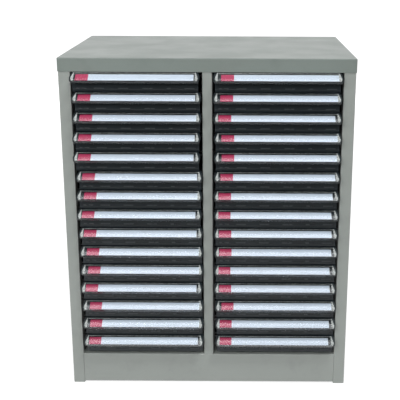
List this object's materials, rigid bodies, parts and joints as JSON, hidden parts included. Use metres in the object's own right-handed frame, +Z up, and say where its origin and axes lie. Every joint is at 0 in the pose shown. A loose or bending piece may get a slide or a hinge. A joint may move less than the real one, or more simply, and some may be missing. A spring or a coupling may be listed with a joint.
{
  "type": "multi-drawer document cabinet",
  "caption": "Upright sheet steel cabinet with two columns of shallow plastic A4 drawers, each with a sloping clear label holder on its pull.",
  "frame": {"origin": "on the floor, under the middle of the whole cabinet's outline", "axes": "+X to the right seen from the front, +Y from the drawers' fronts to the back, +Z up"},
  "size_m": [0.54, 0.378, 0.648],
  "materials": {
    "painted_steel": "grey-green powder coat, low sheen",
    "drawer_plastic": "black moulded plastic with a fine texture",
    "runner_plastic": "black moulded plastic, smooth",
    "zinc_fixings": "bright zinc plating",
    "clear_cover": "clear moulded plastic, polished",
    "label_paper": "white paper strip with a plain coloured block at its left end"
  },
  "bodies": {
    "case": {"top_cap": "painted_steel", "left_side_panel": "painted_steel", "right_side_panel": "painted_steel", "back_panel": "painted_steel", "plinth_floor": "painted_steel", "header_rail": "painted_steel", "rear_top_rail": "painted_steel", "centre_divider": "painted_steel", "left_front_post": "painted_steel", "right_front_post": "painted_steel", "left_rear_post": "painted_steel", "right_rear_post": "painted_steel", "left_outer_runner": "runner_plastic", "left_inner_runner": "runner_plastic", "right_inner_runner": "runner_plastic", "right_outer_runner": "runner_plastic", "cap_nuts": "zinc_fixings", "back_rivets": "zinc_fixings", "divider_bolts": "zinc_fixings", "runner_screws": "zinc_fixings"},
    "drawer_left_01": {"drawer_left_01": "drawer_plastic"},
    "drawer_left_02": {"drawer_left_02": "drawer_plastic"},
    "drawer_left_03": {"drawer_left_03": "drawer_plastic"},
    "drawer_left_04": {"drawer_left_04": "drawer_plastic"},
    "drawer_left_05": {"drawer_left_05": "drawer_plastic"},
    "drawer_left_06": {"drawer_left_06": "drawer_plastic"},
    "drawer_left_07": {"drawer_left_07": "drawer_plastic"},
    "drawer_left_08": {"drawer_left_08": "drawer_plastic"},
    "drawer_left_09": {"drawer_left_09": "drawer_plastic"},
    "drawer_left_10": {"drawer_left_10": "drawer_plastic"},
    "drawer_left_11": {"drawer_left_11": "drawer_plastic"},
    "drawer_left_12": {"drawer_left_12": "drawer_plastic"},
    "drawer_left_13": {"drawer_left_13": "drawer_plastic"},
    "drawer_left_14": {"drawer_left_14": "drawer_plastic"},
    "drawer_left_15": {"drawer_left_15": "drawer_plastic"},
    "drawer_right_01": {"drawer_right_01": "drawer_plastic"},
    "drawer_right_02": {"drawer_right_02": "drawer_plastic"},
    "drawer_right_03": {"drawer_right_03": "drawer_plastic"},
    "drawer_right_04": {"drawer_right_04": "drawer_plastic"},
    "drawer_right_05": {"drawer_right_05": "drawer_plastic"},
    "drawer_right_06": {"drawer_right_06": "drawer_plastic"},
    "drawer_right_07": {"drawer_right_07": "drawer_plastic"},
    "drawer_right_08": {"drawer_right_08": "drawer_plastic"},
    "drawer_right_09": {"drawer_right_09": "drawer_plastic"},
    "drawer_right_10": {"drawer_right_10": "drawer_plastic"},
    "drawer_right_11": {"drawer_right_11": "drawer_plastic"},
    "drawer_right_12": {"drawer_right_12": "drawer_plastic"},
    "drawer_right_13": {"drawer_right_13": "drawer_plastic"},
    "drawer_right_14": {"drawer_right_14": "drawer_plastic"},
    "drawer_right_15": {"drawer_right_15": "drawer_plastic"}
  },
  "joints": [
    {"name": "slide_left_01", "type": "slide", "parent": "case", "child": "drawer_left_01", "axis": [0, -1, 0], "range_m": [0, 0.27]},
    {"name": "slide_left_02", "type": "slide", "parent": "case", "child": "drawer_left_02", "axis": [0, -1, 0], "range_m": [0, 0.27]},
    {"name": "slide_left_03", "type": "slide", "parent": "case", "child": "drawer_left_03", "axis": [0, -1, 0], "range_m": [0, 0.27]},
    {"name": "slide_left_04", "type": "slide", "parent": "case", "child": "drawer_left_04", "axis": [0, -1, 0], "range_m": [0, 0.27]},
    {"name": "slide_left_05", "type": "slide", "parent": "case", "child": "drawer_left_05", "axis": [0, -1, 0], "range_m": [0, 0.27]},
    {"name": "slide_left_06", "type": "slide", "parent": "case", "child": "drawer_left_06", "axis": [0, -1, 0], "range_m": [0, 0.27]},
    {"name": "slide_left_07", "type": "slide", "parent": "case", "child": "drawer_left_07", "axis": [0, -1, 0], "range_m": [0, 0.27]},
    {"name": "slide_left_08", "type": "slide", "parent": "case", "child": "drawer_left_08", "axis": [0, -1, 0], "range_m": [0, 0.27]},
    {"name": "slide_left_09", "type": "slide", "parent": "case", "child": "drawer_left_09", "axis": [0, -1, 0], "range_m": [0, 0.27]},
    {"name": "slide_left_10", "type": "slide", "parent": "case", "child": "drawer_left_10", "axis": [0, -1, 0], "range_m": [0, 0.27]},
    {"name": "slide_left_11", "type": "slide", "parent": "case", "child": "drawer_left_11", "axis": [0, -1, 0], "range_m": [0, 0.27]},
    {"name": "slide_left_12", "type": "slide", "parent": "case", "child": "drawer_left_12", "axis": [0, -1, 0], "range_m": [0, 0.27]},
    {"name": "slide_left_13", "type": "slide", "parent": "case", "child": "drawer_left_13", "axis": [0, -1, 0], "range_m": [0, 0.27]},
    {"name": "slide_left_14", "type": "slide", "parent": "case", "child": "drawer_left_14", "axis": [0, -1, 0], "range_m": [0, 0.27]},
    {"name": "slide_left_15", "type": "slide", "parent": "case", "child": "drawer_left_15", "axis": [0, -1, 0], "range_m": [0, 0.27]},
    {"name": "slide_right_01", "type": "slide", "parent": "case", "child": "drawer_right_01", "axis": [0, -1, 0], "range_m": [0, 0.27]},
    {"name": "slide_right_02", "type": "slide", "parent": "case", "child": "drawer_right_02", "axis": [0, -1, 0], "range_m": [0, 0.27]},
    {"name": "slide_right_03", "type": "slide", "parent": "case", "child": "drawer_right_03", "axis": [0, -1, 0], "range_m": [0, 0.27]},
    {"name": "slide_right_04", "type": "slide", "parent": "case", "child": "drawer_right_04", "axis": [0, -1, 0], "range_m": [0, 0.27]},
    {"name": "slide_right_05", "type": "slide", "parent": "case", "child": "drawer_right_05", "axis": [0, -1, 0], "range_m": [0, 0.27]},
    {"name": "slide_right_06", "type": "slide", "parent": "case", "child": "drawer_right_06", "axis": [0, -1, 0], "range_m": [0, 0.27]},
    {"name": "slide_right_07", "type": "slide", "parent": "case", "child": "drawer_right_07", "axis": [0, -1, 0], "range_m": [0, 0.27]},
    {"name": "slide_right_08", "type": "slide", "parent": "case", "child": "drawer_right_08", "axis": [0, -1, 0], "range_m": [0, 0.27]},
    {"name": "slide_right_09", "type": "slide", "parent": "case", "child": "drawer_right_09", "axis": [0, -1, 0], "range_m": [0, 0.27]},
    {"name": "slide_right_10", "type": "slide", "parent": "case", "child": "drawer_right_10", "axis": [0, -1, 0], "range_m": [0, 0.27]},
    {"name": "slide_right_11", "type": "slide", "parent": "case", "child": "drawer_right_11", "axis": [0, -1, 0], "range_m": [0, 0.27]},
    {"name": "slide_right_12", "type": "slide", "parent": "case", "child": "drawer_right_12", "axis": [0, -1, 0], "range_m": [0, 0.27]},
    {"name": "slide_right_13", "type": "slide", "parent": "case", "child": "drawer_right_13", "axis": [0, -1, 0], "range_m": [0, 0.27]},
    {"name": "slide_right_14", "type": "slide", "parent": "case", "child": "drawer_right_14", "axis": [0, -1, 0], "range_m": [0, 0.27]},
    {"name": "slide_right_15", "type": "slide", "parent": "case", "child": "drawer_right_15", "axis": [0, -1, 0], "range_m": [0, 0.27]}
  ]
}
